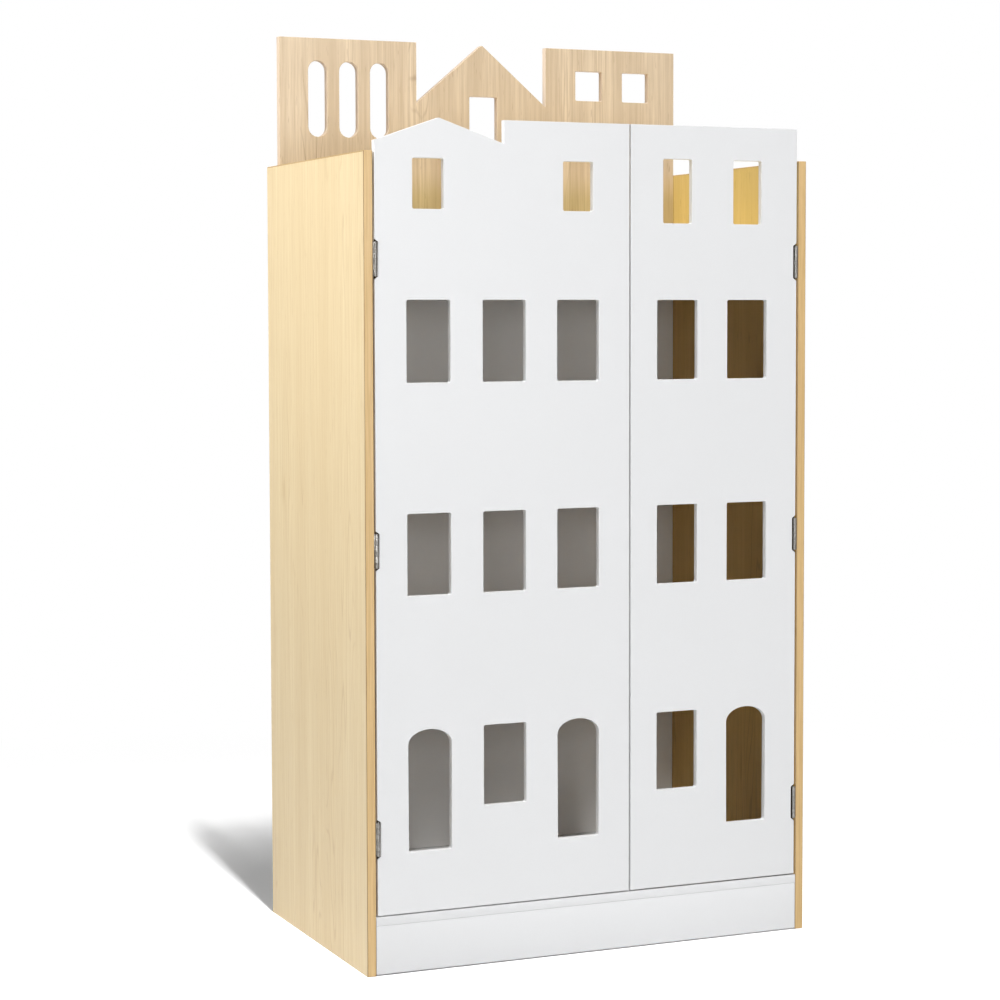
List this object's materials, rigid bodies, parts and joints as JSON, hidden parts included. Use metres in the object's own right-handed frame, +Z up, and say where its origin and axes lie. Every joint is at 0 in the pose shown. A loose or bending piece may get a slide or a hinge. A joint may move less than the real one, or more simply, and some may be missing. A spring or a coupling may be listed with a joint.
{
  "type": "wardrobe",
  "caption": "Child's wardrobe with butt-hinged doors cut like town houses with window openings, a skyline board behind an open top tray, and a hanging rail inside.",
  "frame": {"origin": "on the floor, at the middle of the width and of the depth", "axes": "+X to the wardrobe's right as seen from the front, +Y to the rear, +Z up; the doors are at -Y"},
  "size_m": [0.85, 0.5176, 1.639],
  "materials": {
    "maple_laminate": "satin pale maple laminate on particle board, with tan edge banding",
    "skyline_maple": "satin pale maple laminate, slightly pinker",
    "white_paint": "satin white lacquer on fibreboard",
    "nickel": "nickel-plated steel",
    "chrome": "bright chrome-plated steel",
    "zinc": "dull zinc",
    "white_plastic": "moulded white plastic"
  },
  "bodies": {
    "carcass": {"left_side_panel": "maple_laminate", "right_side_panel": "maple_laminate", "top_board": "white_paint", "bottom_board": "white_paint", "toe_kick": "white_paint", "rear_plinth_rail": "white_paint", "back_panel": "white_paint", "skyline_board": "skyline_maple", "hanging_rail": "chrome", "left_rail_socket": "chrome", "right_rail_socket": "chrome", "left_catch": "white_plastic", "right_catch": "white_plastic", "top_left_front_cam": "zinc", "top_left_rear_cam": "zinc", "top_right_front_cam": "zinc", "top_right_rear_cam": "zinc", "bottom_left_front_cam": "zinc", "bottom_left_rear_cam": "zinc", "bottom_right_front_cam": "zinc", "bottom_right_rear_cam": "zinc", "left_lower_hinge_frame_leaf": "nickel", "left_lower_hinge_pin": "nickel", "left_middle_hinge_frame_leaf": "nickel", "left_middle_hinge_pin": "nickel", "left_upper_hinge_frame_leaf": "nickel", "left_upper_hinge_pin": "nickel", "right_lower_hinge_frame_leaf": "nickel", "right_lower_hinge_pin": "nickel", "right_middle_hinge_frame_leaf": "nickel", "right_middle_hinge_pin": "nickel", "right_upper_hinge_frame_leaf": "nickel", "right_upper_hinge_pin": "nickel"},
    "left_door": {"left_door": "white_paint", "left_strike_plate": "zinc", "left_lower_hinge_door_leaf": "nickel", "left_middle_hinge_door_leaf": "nickel", "left_upper_hinge_door_leaf": "nickel"},
    "right_door": {"right_door": "white_paint", "right_strike_plate": "zinc", "right_lower_hinge_door_leaf": "nickel", "right_middle_hinge_door_leaf": "nickel", "right_upper_hinge_door_leaf": "nickel"}
  },
  "joints": [
    {"name": "left_door_hinge", "type": "hinge", "parent": "carcass", "child": "left_door", "pos_m": [-0.4046, -0.2562, 0.727], "axis": [0, 0, -1], "range_deg": [0, 170]},
    {"name": "right_door_hinge", "type": "hinge", "parent": "carcass", "child": "right_door", "pos_m": [0.4046, -0.2562, 0.727], "axis": [0, 0, 1], "range_deg": [0, 170]}
  ]
}
